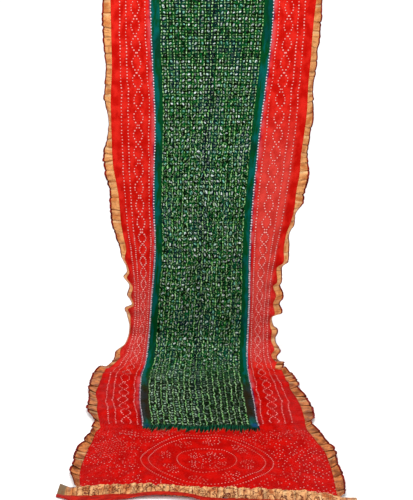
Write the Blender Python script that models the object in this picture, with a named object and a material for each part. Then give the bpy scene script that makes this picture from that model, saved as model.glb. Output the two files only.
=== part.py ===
"""A tie-dyed cloth that hangs, turns at the floor and lies on it, with gathered edgings.

The cloth hangs in the plane y = 0, turns towards -Y at the floor and lies there. The origin is the
middle of its top hem, so the floor is at z = -TOP_HEIGHT. A place on the cloth is given by its
distance along from the top hem and by its share across, from -1 at the left side to 1 at the right.
All sizes are in metres.
"""

import math
import random
from collections import namedtuple

import bpy
import bmesh
from mathutils import Vector

# Driving sizes
TOP_HEIGHT = 1.52
TURN_RADIUS = 0.13
CLOTH_LENGTH = 2.674
CLOTH_THICK = 0.002
TISSUE_THICK = 0.0016
SEAM_GAP = 0.0004
EDGING_WIDTH = 0.030
BINDING_WIDTH = 0.0065
CLOTH_COLUMNS = 28

# The quarter turn between the hanging and the lying part
TURN_START = TOP_HEIGHT - TURN_RADIUS
TURN_END = TURN_START + TURN_RADIUS * math.pi / 2

# Outline of the cloth and turn of its edgings, at places along it. The turn is in degrees out of
# the cloth's own surface, below 0 where the edging is turned to the back.
Station = namedtuple("Station", "along left right left_turn right_turn gather")
STATIONS = (
    Station(0.00, -0.398, 0.399, 0, -30, 0.20),
    Station(0.29, -0.399, 0.384, -25, -35, 0.25),
    Station(0.54, -0.401, 0.371, -42, -36, 0.40),
    Station(0.70, -0.397, 0.354, -15, -26, 0.52),
    Station(0.84, -0.386, 0.333, -14, -18, 0.65),
    Station(0.97, -0.375, 0.309, -18, -24, 0.80),
    Station(1.12, -0.352, 0.276, -45, -26, 0.95),
    Station(1.26, -0.341, 0.257, -62, -30, 1.00),
    Station(1.39, -0.346, 0.251, -72, -54, 1.00),
    Station(1.49, -0.377, 0.254, -50, -28, 0.90),
    Station(1.57, -0.414, 0.268, -8, 16, 0.80),
    Station(1.65, -0.441, 0.283, 26, 38, 0.75),
    Station(1.80, -0.442, 0.299, 14, 16, 0.62),
    Station(1.93, -0.434, 0.312, 0, 0, 0.55),
    Station(2.17, -0.403, 0.314, 40, 22, 0.50),
    Station(2.38, -0.409, 0.354, 10, 38, 0.45),
    Station(2.55, -0.418, 0.371, 8, 18, 0.40),
    Station(CLOTH_LENGTH, -0.415, 0.372, 4, 4, 0.20),
)

# Lengthwise folds: a ridge rises to the front and a trough sinks to the back when fully gathered
Fold = namedtuple("Fold", "across half_width hanging lying drift")
FOLDS = (
    Fold(-0.97, 0.11, -0.020, 0.004, 0.00),
    Fold(-0.78, 0.13, 0.015, 0.011, 0.02),
    Fold(-0.56, 0.12, -0.013, -0.006, 0.02),
    Fold(-0.32, 0.15, 0.012, 0.009, 0.03),
    Fold(-0.03, 0.11, -0.015, -0.008, 0.01),
    Fold(0.22, 0.15, 0.011, 0.010, -0.03),
    Fold(0.48, 0.12, -0.012, -0.006, -0.02),
    Fold(0.74, 0.14, 0.017, 0.012, -0.02),
    Fold(0.97, 0.11, -0.018, 0.005, 0.00),
)
DRIFT_LENGTH = 0.95
LYING_LEAD = 0.06

# Low cross folds where the lying part was pushed together
CrossFold = namedtuple("CrossFold", "along across half_length half_width height slope")
CROSS_FOLDS = (
    CrossFold(1.70, -0.70, 0.045, 0.40, 0.012, 0.10),
    CrossFold(1.78, 0.55, 0.040, 0.45, 0.008, -0.08),
    CrossFold(2.06, -0.85, 0.040, 0.25, 0.010, 0.12),
    CrossFold(2.30, 0.80, 0.050, 0.30, 0.010, -0.14),
    CrossFold(2.28, -0.20, 0.035, 0.50, 0.006, 0.03),
    CrossFold(2.56, 0.30, 0.035, 0.45, 0.006, 0.04),
)

# How far the lower end runs past its mean line, from the left side to the right
EndPlace = namedtuple("EndPlace", "across run")
END_LINE = (
    EndPlace(-1.0, -0.004),
    EndPlace(-0.5, -0.014),
    EndPlace(0.0, 0.008),
    EndPlace(0.5, 0.022),
    EndPlace(1.0, 0.047),
)
END_LINE_START = 2.20

# Rows of the cloth's mesh: where each stretch ends, how many rows it holds, and how many steps of
# an edging go to one of them
Stretch = namedtuple("Stretch", "end rows steps")
STRETCHES = (
    Stretch(0.90, 20, 2),
    Stretch(TURN_START, 14, 2),
    Stretch(TURN_END, 9, 1),
    Stretch(CLOTH_LENGTH, 29, 2),
)

# Pleats of the side edgings, each a few steps long
PLEAT_STEPS = (3, 5)
PLEAT_LIFT = (0.004, 0.010)
CREASE_LIFT = -0.002
SCALLOP = 0.007
PUFF_LOSS = 0.15
HALFWAY_TURN = 0.6
RIM_DROP = 0.4

# The frill across the lower end: its height and the run of its foot, from left to right
Frill = namedtuple("Frill", "x height run")
FRILL = (
    Frill(-0.471, 0.002, 0.040),
    Frill(-0.440, 0.006, 0.046),
    Frill(-0.395, 0.019, 0.048),
    Frill(-0.200, 0.022, 0.048),
    Frill(0.000, 0.024, 0.050),
    Frill(0.200, 0.024, 0.050),
    Frill(0.320, 0.019, 0.052),
    Frill(0.375, 0.008, 0.056),
    Frill(0.418, 0.002, 0.060),
)
FRILL_COLUMNS = 62
FRILL_UNEVEN = 0.35
FRILL_TIP_BACK = 0.042

# The frill's section: share of its run and share of its height
SectionPoint = namedtuple("SectionPoint", "run height")
FRILL_SECTION = (
    SectionPoint(0.00, 0.00),
    SectionPoint(0.26, 0.72),
    SectionPoint(0.48, 1.00),
    SectionPoint(0.74, 0.70),
    SectionPoint(1.00, 0.00),
)

# The band in front of the frill: its width and its lift off the floor, from left to right
Band = namedtuple("Band", "x width lift")
END_BAND = (
    Band(-0.471, 0.010, 0.000),
    Band(-0.400, 0.032, 0.000),
    Band(-0.270, 0.030, 0.002),
    Band(-0.170, 0.015, 0.010),
    Band(-0.080, 0.015, 0.011),
    Band(-0.010, 0.028, 0.003),
    Band(0.120, 0.038, 0.001),
    Band(0.250, 0.034, 0.003),
    Band(0.350, 0.020, 0.000),
    Band(0.418, 0.010, 0.000),
)
BAND_RIM_LIFT = 0.8

EDGING_SEEDS = {"left": 11, "right": 23}
FRILL_SEED = 37
OUTWARD = {"left": Vector((-1, 0, 0)), "right": Vector((1, 0, 0))}

# Colour, roughness and metallic value of each cloth
FINISHES = {
    "cloth": ((0.55, 0.02, 0.01, 1), 0.60, 0.0),
    "edging": ((0.72, 0.42, 0.16, 1), 0.38, 0.5),
    "binding": ((0.35, 0.02, 0.01, 1), 0.60, 0.0),
}


def smooth(share):
    """Ease from 0 to 1, flat at both ends."""
    share = min(max(share, 0.0), 1.0)
    return share * share * (3 - 2 * share)


def read(table, key, column, at):
    """Value of a table's column between its rows, on a smooth curve through them."""
    places = [getattr(row, key) for row in table]
    values = [getattr(row, column) for row in table]
    at = min(max(at, places[0]), places[-1])
    last = len(table) - 2
    i = min(max(sum(place <= at for place in places) - 1, 0), last)

    def slope(k):
        low, high = max(k - 1, 0), min(k + 1, last + 1)
        return (values[high] - values[low]) / (places[high] - places[low])

    span = places[i + 1] - places[i]
    t = (at - places[i]) / span
    start = (2 * t**3 - 3 * t**2 + 1) * values[i] + (t**3 - 2 * t**2 + t) * span * slope(i)
    end = (3 * t**2 - 2 * t**3) * values[i + 1] + (t**3 - t**2) * span * slope(i + 1)
    return start + end


def spine(along):
    """Middle line of the drape: run to the front, height over the floor and its front normal."""
    if along <= TURN_START:
        return 0.0, TOP_HEIGHT - along, 1.0, 0.0
    if along >= TURN_END:
        return TURN_RADIUS + along - TURN_END, 0.0, 0.0, 1.0
    angle = (along - TURN_START) / TURN_RADIUS
    run = TURN_RADIUS * (1 - math.cos(angle))
    return run, TURN_RADIUS * (1 - math.sin(angle)), math.cos(angle), math.sin(angle)


def place(x, along, lift):
    """Point at x across and along the drape, lifted off its middle line, never under the floor."""
    run, height, normal_run, normal_up = spine(along)
    height = max(height + lift * normal_up, 0.0)
    return Vector((x, -(run + lift * normal_run), height - TOP_HEIGHT))


def front_normal(along):
    """Unit normal of the drape's front side."""
    normal_run, normal_up = spine(along)[2:]
    return Vector((0, -normal_run, normal_up))


def bump(distance, half_width):
    """A soft rise that is 1 in its middle and fades beyond its half width."""
    return math.exp(-((distance / half_width) ** 2))


def fold_lift(across, along):
    """How far the cloth's back stands off the drape's middle line."""
    lying = smooth((along - TURN_START + LYING_LEAD) / (TURN_END - TURN_START + LYING_LEAD))
    gather = read(STATIONS, "along", "gather", along)
    hanging_lift = 0.0
    lying_lift = 0.0
    for fold in FOLDS:
        centre = fold.across + fold.drift * math.sin(2 * math.pi * along / DRIFT_LENGTH)
        rise = bump(across - centre, fold.half_width)
        hanging_lift += fold.hanging * gather * rise
        lying_lift += fold.lying * gather * rise
    for fold in CROSS_FOLDS:
        middle = fold.along + fold.slope * (across - fold.across)
        rise = bump(along - middle, fold.half_length) * bump(across - fold.across, fold.half_width)
        lying_lift += fold.height * rise
    return (1 - lying) * hanging_lift + lying * max(lying_lift, 0.0)


def places_along(for_edging=False):
    """Places along the cloth of its rows, or of the finer steps of an edging, which share them."""
    places = [0.0]
    for stretch in STRETCHES:
        start = places[-1]
        count = stretch.rows * (stretch.steps if for_edging else 1)
        places += [start + (stretch.end - start) * (k + 1) / count for k in range(count)]
    return places


def cloth_grid():
    """Back and front points of the cloth, row by row."""
    backs, fronts = [], []
    for along in places_along():
        left = read(STATIONS, "along", "left", along)
        right = read(STATIONS, "along", "right", along)
        lower = smooth((along - END_LINE_START) / (CLOTH_LENGTH - END_LINE_START))
        back_row, front_row = [], []
        for k in range(CLOTH_COLUMNS + 1):
            across = 2 * k / CLOTH_COLUMNS - 1
            x = left + (right - left) * k / CLOTH_COLUMNS
            slanted = along + lower * read(END_LINE, "across", "run", across)
            back = place(x, slanted, fold_lift(across, along))
            back_row.append(back)
            front_row.append(back + CLOTH_THICK * front_normal(slanted))
        backs.append(back_row)
        fronts.append(front_row)
    return backs, fronts


def between(points, places, at):
    """Point on the broken line through points, at a place between theirs."""
    k = min(max(sum(step <= at for step in places) - 1, 0), len(places) - 2)
    share = (at - places[k]) / (places[k + 1] - places[k])
    return points[k].lerp(points[k + 1], share)


def pleat_rows(seed):
    """Steps down a side edging: place along, lift and loss of width, low and narrow at a crease."""
    draw = random.Random(seed)
    rows = []
    left_in_pleat = 0
    for along in places_along(for_edging=True):
        if left_in_pleat == 0:
            left_in_pleat = draw.randint(*PLEAT_STEPS)
            lift = draw.uniform(*PLEAT_LIFT)
            loss = SCALLOP * draw.uniform(0.5, 1.2)
            rows.append((along, CREASE_LIFT, loss))
        else:
            rows.append((along, lift * draw.uniform(0.8, 1.2), loss * PUFF_LOSS))
        left_in_pleat -= 1
    rows[-1] = (rows[-1][0], 0.0, 0.0)
    return rows


def out_of_surface(side, along, turn):
    """Directions outward along the edging and off its front, where it is turned by some degrees."""
    angle = math.radians(turn)
    normal = front_normal(along)
    outward = OUTWARD[side] * math.cos(angle) + normal * math.sin(angle)
    off = normal * math.cos(angle) - OUTWARD[side] * math.sin(angle)
    return outward, off


def above_floor(point):
    """The point, raised to the floor where it would be under it."""
    point.z = max(point.z, -TOP_HEIGHT)
    return point


def edging_grids(side, backs, fronts):
    """Back and front points of one side's edging, and the same for the binding outside it."""
    column = 0 if side == "left" else -1
    rim_back = [row[column] for row in backs]
    rim_front = [row[column] for row in fronts]
    rows = places_along()
    edging, binding = ([], []), ([], [])
    for along, lift, loss in pleat_rows(EDGING_SEEDS[side]):
        turn = read(STATIONS, "along", f"{side}_turn", along)
        outward, off = out_of_surface(side, along, turn)
        half_out = out_of_surface(side, along, turn * HALFWAY_TURN)[0]
        gap = OUTWARD[side] * SEAM_GAP
        inner = between(rim_back, rows, along) + gap
        inner_front = between(rim_front, rows, along) + gap
        width = EDGING_WIDTH - loss
        middle = above_floor(inner + half_out * width / 2 + off * lift)
        outer = above_floor(middle + outward * width / 2 - off * lift * RIM_DROP)
        edging[0].append([inner, middle, outer])
        edging[1].append([inner_front, middle + off * TISSUE_THICK, outer + off * TISSUE_THICK])
        step = outward * SEAM_GAP
        start, start_front = outer + step, outer + off * TISSUE_THICK + step
        end = above_floor(start + outward * BINDING_WIDTH)
        binding[0].append([above_floor(start), end])
        binding[1].append([start_front, end + off * TISSUE_THICK])
    return edging, binding


def frill_grids(backs):
    """Back and front points of the frill across the lower end, and of the band in front of it."""
    end_row = backs[-1]
    places = [point.x for point in end_row]
    draw = random.Random(FRILL_SEED)
    first, last = FRILL[0].x, FRILL[-1].x
    frill, band = ([], []), ([], [])
    rise = Vector((0, 0, TISSUE_THICK))
    for k in range(FRILL_COLUMNS + 1):
        x = first + (last - first) * k / FRILL_COLUMNS
        seam = between(end_row, places, min(max(x, places[0]), places[-1]))
        zigzag = 0.5 if k % 2 else -0.5
        uneven = 1 + FRILL_UNEVEN * (zigzag + draw.uniform(-0.6, 0.6))
        height = read(FRILL, "x", "height", x) * uneven
        run = read(FRILL, "x", "run", x)
        tip_back = FRILL_TIP_BACK if k == 0 else 0.0
        column = []
        for point in FRILL_SECTION:
            y = seam.y - SEAM_GAP - run * point.run + tip_back * (1 - point.run)
            column.append(Vector((x, y, height * point.height - TOP_HEIGHT)))
        frill[0].append(column)
        frill[1].append([point + rise for point in column])
        foot = column[-1]
        lift = read(END_BAND, "x", "lift", x)
        width = read(END_BAND, "x", "width", x)
        start = Vector((x, foot.y - SEAM_GAP, -TOP_HEIGHT))
        middle = start + Vector((0, -width / 2, lift))
        end = start + Vector((0, -width, lift * BAND_RIM_LIFT))
        band[0].append([above_floor(start), above_floor(middle), above_floor(end)])
        band[1].append([point + rise for point in band[0][-1]])
    return frill, band


def sheet_mesh(name, backs, fronts):
    """Closed mesh of a sheet from its back and front points, all in triangles."""
    mesh = bmesh.new()
    back = [[mesh.verts.new(point) for point in row] for row in backs]
    front = [[mesh.verts.new(point) for point in row] for row in fronts]

    def pair(a, b, c, d):
        mesh.faces.new((a, b, c))
        mesh.faces.new((a, c, d))

    last_row, last_column = len(back) - 1, len(back[0]) - 1
    for i in range(last_row):
        for j in range(last_column):
            pair(front[i][j], front[i + 1][j], front[i + 1][j + 1], front[i][j + 1])
            pair(back[i][j], back[i][j + 1], back[i + 1][j + 1], back[i + 1][j])
        for j in (0, last_column):
            pair(back[i][j], front[i][j], front[i + 1][j], back[i + 1][j])
    for j in range(last_column):
        for i in (0, last_row):
            pair(back[i][j], front[i][j], front[i][j + 1], back[i][j + 1])
    bmesh.ops.recalc_face_normals(mesh, faces=mesh.faces)
    data = bpy.data.meshes.new(name)
    mesh.to_mesh(data)
    mesh.free()
    return data


def make_material(name):
    """Principled material of one of the cloths."""
    colour, roughness, metallic = FINISHES[name]
    material = bpy.data.materials.new(name)
    material.use_nodes = True
    shader = material.node_tree.nodes["Principled BSDF"]
    shader.inputs["Base Color"].default_value = colour
    shader.inputs["Roughness"].default_value = roughness
    shader.inputs["Metallic"].default_value = metallic
    return material


def make_piece(name, grids, material):
    """Named object of one sewn piece."""
    data = sheet_mesh(name, *grids)
    data.shade_smooth()
    data.materials.append(material)
    piece = bpy.data.objects.new(name, data)
    bpy.context.scene.collection.objects.link(piece)
    return piece


def main():
    """Build the cloth, its edgings and their bindings."""
    for old in list(bpy.data.objects):
        bpy.data.objects.remove(old)
    materials = {name: make_material(name) for name in FINISHES}
    backs, fronts = cloth_grid()
    make_piece("cloth", (backs, fronts), materials["cloth"])
    for side in ("left", "right"):
        edging, binding = edging_grids(side, backs, fronts)
        make_piece(f"edging_{side}", edging, materials["edging"])
        make_piece(f"binding_{side}", binding, materials["binding"])
    frill, band = frill_grids(backs)
    make_piece("edging_end", frill, materials["edging"])
    make_piece("binding_end", band, materials["binding"])


main()
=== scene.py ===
"""Looks of a tie-dyed cloth that hangs, turns at the floor and lies on it, with gathered edgings.

The cloth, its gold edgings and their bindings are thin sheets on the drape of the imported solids. A
place on the cloth is given by its distance along from the top hem and by its share across, from -1
at the left side to 1 at the right. The dyed design is worked out in the cloth's own flat measures,
which each mesh carries as a map: metres across from the middle line, and metres along from the hem.
"""

import math
import random
from collections import namedtuple

import bpy
import numpy as np
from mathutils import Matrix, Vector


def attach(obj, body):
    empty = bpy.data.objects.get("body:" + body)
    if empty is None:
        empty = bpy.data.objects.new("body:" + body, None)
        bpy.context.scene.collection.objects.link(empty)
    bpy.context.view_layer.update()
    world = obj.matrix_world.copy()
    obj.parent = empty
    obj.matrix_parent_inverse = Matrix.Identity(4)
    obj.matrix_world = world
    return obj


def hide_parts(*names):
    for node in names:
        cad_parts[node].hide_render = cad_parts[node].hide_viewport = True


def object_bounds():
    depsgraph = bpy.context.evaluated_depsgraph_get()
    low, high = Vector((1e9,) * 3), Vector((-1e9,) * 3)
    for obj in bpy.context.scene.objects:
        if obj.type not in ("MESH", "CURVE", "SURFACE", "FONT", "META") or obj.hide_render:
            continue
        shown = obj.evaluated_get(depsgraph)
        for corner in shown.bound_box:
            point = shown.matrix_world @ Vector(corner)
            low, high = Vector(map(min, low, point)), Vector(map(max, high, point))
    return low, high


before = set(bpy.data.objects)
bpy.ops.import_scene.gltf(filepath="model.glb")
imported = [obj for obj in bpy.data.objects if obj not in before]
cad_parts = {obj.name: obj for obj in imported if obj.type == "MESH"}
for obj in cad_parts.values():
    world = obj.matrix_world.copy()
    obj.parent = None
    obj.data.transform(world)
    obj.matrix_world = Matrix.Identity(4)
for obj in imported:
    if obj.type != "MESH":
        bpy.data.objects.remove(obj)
CAD_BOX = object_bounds()

# The drape, in metres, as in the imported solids
TOP_HEIGHT = -CAD_BOX[0].z
TURN_RADIUS = 0.13
CLOTH_LENGTH = 2.674
TURN_START = TOP_HEIGHT - TURN_RADIUS
TURN_END = TURN_START + TURN_RADIUS * math.pi / 2
EDGING_WIDTH = 0.030
BINDING_WIDTH = 0.0065

Station = namedtuple("Station", "along left right gather")
STATIONS = (
    Station(0.00, -0.398, 0.399, 0.20),
    Station(0.29, -0.399, 0.384, 0.25),
    Station(0.54, -0.401, 0.371, 0.40),
    Station(0.70, -0.397, 0.354, 0.52),
    Station(0.84, -0.386, 0.333, 0.65),
    Station(0.97, -0.375, 0.309, 0.80),
    Station(1.12, -0.352, 0.276, 0.95),
    Station(1.26, -0.341, 0.257, 1.00),
    Station(1.39, -0.346, 0.251, 1.00),
    Station(1.49, -0.377, 0.254, 0.90),
    Station(1.57, -0.414, 0.268, 0.80),
    Station(1.65, -0.441, 0.283, 0.75),
    Station(1.80, -0.442, 0.299, 0.62),
    Station(1.93, -0.434, 0.312, 0.55),
    Station(2.17, -0.403, 0.314, 0.50),
    Station(2.38, -0.409, 0.354, 0.45),
    Station(2.55, -0.418, 0.371, 0.40),
    Station(CLOTH_LENGTH, -0.415, 0.372, 0.20),
)

Fold = namedtuple("Fold", "across half_width hanging lying drift")
FOLDS = (
    Fold(-0.97, 0.11, -0.020, 0.004, 0.00),
    Fold(-0.78, 0.13, 0.015, 0.011, 0.02),
    Fold(-0.56, 0.12, -0.013, -0.006, 0.02),
    Fold(-0.32, 0.15, 0.012, 0.009, 0.03),
    Fold(-0.03, 0.11, -0.015, -0.008, 0.01),
    Fold(0.22, 0.15, 0.011, 0.010, -0.03),
    Fold(0.48, 0.12, -0.012, -0.006, -0.02),
    Fold(0.74, 0.14, 0.017, 0.012, -0.02),
    Fold(0.97, 0.11, -0.018, 0.005, 0.00),
)
DRIFT_LENGTH = 0.95
LYING_LEAD = 0.06

CrossFold = namedtuple("CrossFold", "along across half_length half_width height slope")
CROSS_FOLDS = (
    CrossFold(1.70, -0.70, 0.045, 0.40, 0.012, 0.10),
    CrossFold(1.78, 0.55, 0.040, 0.45, 0.008, -0.08),
    CrossFold(2.06, -0.85, 0.040, 0.25, 0.010, 0.12),
    CrossFold(2.30, 0.80, 0.050, 0.30, 0.010, -0.14),
    CrossFold(2.28, -0.20, 0.035, 0.50, 0.006, 0.03),
    CrossFold(2.56, 0.30, 0.035, 0.45, 0.006, 0.04),
)

EndPlace = namedtuple("EndPlace", "across run")
END_LINE = (
    EndPlace(-1.0, -0.004),
    EndPlace(-0.5, -0.014),
    EndPlace(0.0, 0.008),
    EndPlace(0.5, 0.022),
    EndPlace(1.0, 0.047),
)
END_LINE_START = 2.20

Frill = namedtuple("Frill", "x height run")
FRILL = (
    Frill(-0.471, 0.002, 0.040),
    Frill(-0.440, 0.006, 0.046),
    Frill(-0.395, 0.019, 0.048),
    Frill(-0.200, 0.022, 0.048),
    Frill(0.000, 0.024, 0.050),
    Frill(0.200, 0.024, 0.050),
    Frill(0.320, 0.019, 0.052),
    Frill(0.375, 0.008, 0.056),
    Frill(0.418, 0.002, 0.060),
)
FRILL_TIP_BACK = 0.042
FRILL_TIP_WIDTH = 0.055
FRILL_DRAWN_IN = 0.010
FRILL_FLAT_WIDTH = 0.07
FRILL_SEED = 37

Band = namedtuple("Band", "x width lift")
END_BAND = (
    Band(-0.471, 0.010, 0.000),
    Band(-0.400, 0.032, 0.000),
    Band(-0.270, 0.030, 0.002),
    Band(-0.170, 0.015, 0.010),
    Band(-0.080, 0.015, 0.011),
    Band(-0.010, 0.028, 0.003),
    Band(0.120, 0.038, 0.001),
    Band(0.250, 0.034, 0.003),
    Band(0.350, 0.020, 0.000),
    Band(0.418, 0.010, 0.000),
)

# Narrow creases pressed or drawn into the cloth: where each runs, its half width and its depth
Crease = namedtuple("Crease", "across start end half_width depth lean")
CREASES = (
    Crease(-0.90, 0.55, 1.60, 0.030, 0.0030, 0.05),
    Crease(-0.70, 0.75, 1.75, 0.028, 0.0035, -0.04),
    Crease(-0.62, 0.95, 1.60, 0.024, -0.0030, 0.02),
    Crease(-0.44, 0.40, 1.55, 0.026, 0.0022, 0.03),
    Crease(-0.20, 0.85, 1.70, 0.030, -0.0028, 0.04),
    Crease(-0.02, 0.00, 2.20, 0.016, -0.0026, 0.00),
    Crease(0.12, 0.60, 1.50, 0.030, 0.0026, -0.03),
    Crease(0.34, 0.90, 1.65, 0.028, 0.0030, -0.02),
    Crease(0.42, 0.30, 1.30, 0.026, -0.0022, -0.05),
    Crease(0.64, 0.80, 1.70, 0.026, -0.0032, 0.04),
    Crease(0.84, 0.60, 1.65, 0.030, 0.0034, -0.04),
    Crease(-0.86, 1.70, 2.20, 0.040, 0.0040, 0.06),
    Crease(0.70, 1.68, 2.25, 0.036, 0.0040, 0.10),
    Crease(0.88, 1.90, 2.60, 0.040, 0.0038, 0.05),
    Crease(-0.60, 2.20, 2.66, 0.050, 0.0030, 0.16),
)

# The sides flutter where the cloth is drawn in
FLUTTER_LENGTH = 0.074
FLUTTER_HEIGHT = 0.0075
FLUTTER_MIDDLE = 1.36
FLUTTER_SPREAD = 0.34
FLUTTER_REACH = 0.16

# How far the cloth's sides sway out of their smooth line, and how far the edging shows beyond them.
# Another script worked these rows out, through the camera below, from places read off the photograph,
# and they were then thinned and rounded.
Wave =namedtuple("Wave", "along sway reach")
SIDE_WAVES = {
    "left": (
        Wave(0.00, 0.001, 0.032),
        Wave(0.20, 0.000, 0.033),
        Wave(0.33, 0.000, 0.023),
        Wave(0.43, 0.005, 0.028),
        Wave(0.526, 0.005, 0.011),
        Wave(0.60, 0.005, 0.020),
        Wave(0.65, 0.006, 0.033),
        Wave(0.71, 0.005, 0.037),
        Wave(0.82, -0.004, 0.035),
        Wave(0.95, -0.003, 0.036),
        Wave(1.05, -0.006, 0.026),
        Wave(1.09, 0.006, 0.013),
        Wave(1.146, -0.004, 0.009),
        Wave(1.172, 0.009, 0.015),
        Wave(1.21, -0.011, 0.014),
        Wave(1.25, -0.001, 0.017),
        Wave(1.29, -0.011, 0.008),
        Wave(1.301, 0.012, 0.012),
        Wave(1.33, 0.004, 0.016),
        Wave(1.38, -0.001, 0.005),
        Wave(1.445, 0.000, 0.007),
        Wave(1.474, 0.014, 0.021),
        Wave(1.521, -0.004, 0.023),
        Wave(1.57, 0.010, 0.016),
        Wave(1.657, -0.003, 0.039),
        Wave(1.782, 0.002, 0.036),
        Wave(1.87, 0.008, 0.025),
        Wave(1.956, 0.000, 0.032),
        Wave(2.05, 0.006, 0.037),
        Wave(2.17, -0.003, 0.016),
        Wave(2.205, -0.006, 0.028),
        Wave(2.23, 0.004, 0.009),
        Wave(2.33, 0.004, 0.023),
        Wave(2.37, 0.008, 0.037),
        Wave(2.45, 0.008, 0.034),
        Wave(2.50, 0.007, 0.023),
        Wave(2.56, 0.004, 0.029),
        Wave(CLOTH_LENGTH, -0.007, 0.014),
    ),
    "right": (
        Wave(0.00, 0.007, 0.023),
        Wave(0.09, 0.005, 0.024),
        Wave(0.12, 0.003, 0.029),
        Wave(0.22, 0.001, 0.031),
        Wave(0.26, 0.002, 0.023),
        Wave(0.30, 0.001, 0.029),
        Wave(0.39, -0.001, 0.019),
        Wave(0.49, 0.001, 0.027),
        Wave(0.66, -0.003, 0.026),
        Wave(0.74, 0.003, 0.039),
        Wave(0.81, 0.002, 0.035),
        Wave(0.86, 0.006, 0.032),
        Wave(0.905, 0.007, 0.011),
        Wave(0.95, 0.002, 0.021),
        Wave(0.99, -0.003, 0.014),
        Wave(1.045, 0.002, 0.022),
        Wave(1.107, 0.014, 0.020),
        Wave(1.127, -0.007, 0.022),
        Wave(1.189, 0.003, 0.020),
        Wave(1.207, -0.010, 0.028),
        Wave(1.244, 0.006, 0.031),
        Wave(1.282, -0.001, 0.027),
        Wave(1.325, 0.008, 0.028),
        Wave(1.34, -0.008, 0.010),
        Wave(1.381, -0.008, 0.012),
        Wave(1.394, -0.002, 0.027),
        Wave(1.432, -0.004, 0.018),
        Wave(1.474, 0.006, 0.028),
        Wave(1.497, -0.009, 0.023),
        Wave(1.544, 0.003, 0.030),
        Wave(1.577, -0.012, 0.028),
        Wave(1.616, 0.002, 0.014),
        Wave(1.715, -0.002, 0.038),
        Wave(1.743, -0.002, 0.024),
        Wave(1.757, 0.002, 0.037),
        Wave(1.842, -0.004, 0.027),
        Wave(1.925, 0.003, 0.038),
        Wave(2.04, 0.012, 0.041),
        Wave(2.13, 0.013, 0.031),
        Wave(2.174, 0.008, 0.019),
        Wave(2.244, 0.000, 0.035),
        Wave(2.32, 0.003, 0.027),
        Wave(2.37, 0.009, 0.033),
        Wave(2.477, 0.003, 0.023),
        Wave(2.593, -0.005, 0.031),
        Wave(CLOTH_LENGTH, -0.007, 0.021),
    ),
}
SWAY_SHARE = 0.18

# Mesh of the cloth and the fine relief that the ties leave in it
CLOTH_ROWS = 520
CLOTH_COLUMNS = 184
CLOTH_MIDDLE = 0.001
CRINKLE = 0.0011
TIE_RELIEF = 0.0007
STREAK_RELIEF = 0.0012
HEM_DEPTH = 0.012

# The dyed design, in metres across from the middle line and along from the hem
HALF_CLOTH = 0.398
HALF_GREEN = 0.2375
HALF_GRID = 0.1985
CELL = 0.0248
ROW_CELL = 0.0236
GREEN_END = 2.195
BORDER_END = 2.168
TIE_PITCH = 0.0127
TIE_RADIUS = 0.0027
EDGE_PITCH = 0.0112
CHAIN_PITCH = 0.0108
CHAIN_PERIOD = 0.141
CROWD_START = 0.98
CROWD_END = 1.58
CROWDING = 0.45
MEDALLION_MIDDLE = 2.454

# The studio light is this much brighter than the dyes are set for
LIGHT_LEVEL = 1.65

# Where the green field's sides lie in the drape
GreenSide = namedtuple("GreenSide", "along left right")
GREEN_SIDES = (
    GreenSide(0.00, -0.243, 0.238),
    GreenSide(0.15, -0.241, 0.232),
    GreenSide(0.29, -0.237, 0.219),
    GreenSide(0.43, -0.231, 0.203),
    GreenSide(0.54, -0.229, 0.190),
    GreenSide(0.84, -0.238, 0.163),
    GreenSide(1.05, -0.235, 0.152),
    GreenSide(1.26, -0.252, 0.151),
    GreenSide(1.39, -0.262, 0.147),
    GreenSide(1.49, -0.271, 0.143),
    GreenSide(1.65, -0.284, 0.143),
    GreenSide(1.93, -0.272, 0.150),
    GreenSide(2.17, -0.248, 0.157),
    GreenSide(2.45, -0.252, 0.203),
    GreenSide(CLOTH_LENGTH, -0.255, 0.206),
)

# The camera, fitted to the photograph: focal length is two picture heights
CAMERA_PLACE = (-0.025, -3.98, 1.36)
CAMERA_PITCH = 12.6
CAMERA_LENS = 72.0
SENSOR_WIDTH = 36.0


def smooth(share):
    """Ease from 0 to 1, flat at both ends."""
    share = np.clip(share, 0.0, 1.0)
    return share * share * (3 - 2 * share)


def bump(distance, half_width):
    """A soft rise that is 1 in its middle and fades beyond its half width."""
    return np.exp(-((distance / half_width) ** 2))


def read(table, key, column, at):
    """Values of a table's column between its rows, on a smooth curve through them."""
    places = np.array([getattr(row, key) for row in table])
    values = np.array([getattr(row, column) for row in table], float)
    spread = np.arange(len(table))
    low, high = np.maximum(spread - 1, 0), np.minimum(spread + 1, len(table) - 1)
    slopes = (values[high] - values[low]) / (places[high] - places[low])
    at = np.clip(at, places[0], places[-1])
    i = np.clip(np.searchsorted(places, at, side="right") - 1, 0, len(table) - 2)
    span = places[i + 1] - places[i]
    t = (at - places[i]) / span
    start = (2 * t**3 - 3 * t**2 + 1) * values[i] + (t**3 - 2 * t**2 + t) * span * slopes[i]
    end = (3 * t**2 - 2 * t**3) * values[i + 1] + (t**3 - t**2) * span * slopes[i + 1]
    return start + end


def soft_noise(u, v, seed):
    """Smooth noise from -1 to 1 over a plane of unit cells."""
    size = 256
    grid = np.random.default_rng(seed).uniform(-1, 1, (size, size))
    cell_u, cell_v = np.floor(u).astype(int), np.floor(v).astype(int)
    share_u, share_v = smooth(u - cell_u), smooth(v - cell_v)

    def corner(du, dv):
        return grid[(cell_u + du) % size, (cell_v + dv) % size]

    low = corner(0, 0) * (1 - share_u) + corner(1, 0) * share_u
    high = corner(0, 1) * (1 - share_u) + corner(1, 1) * share_u
    return low * (1 - share_v) + high * share_v


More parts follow.
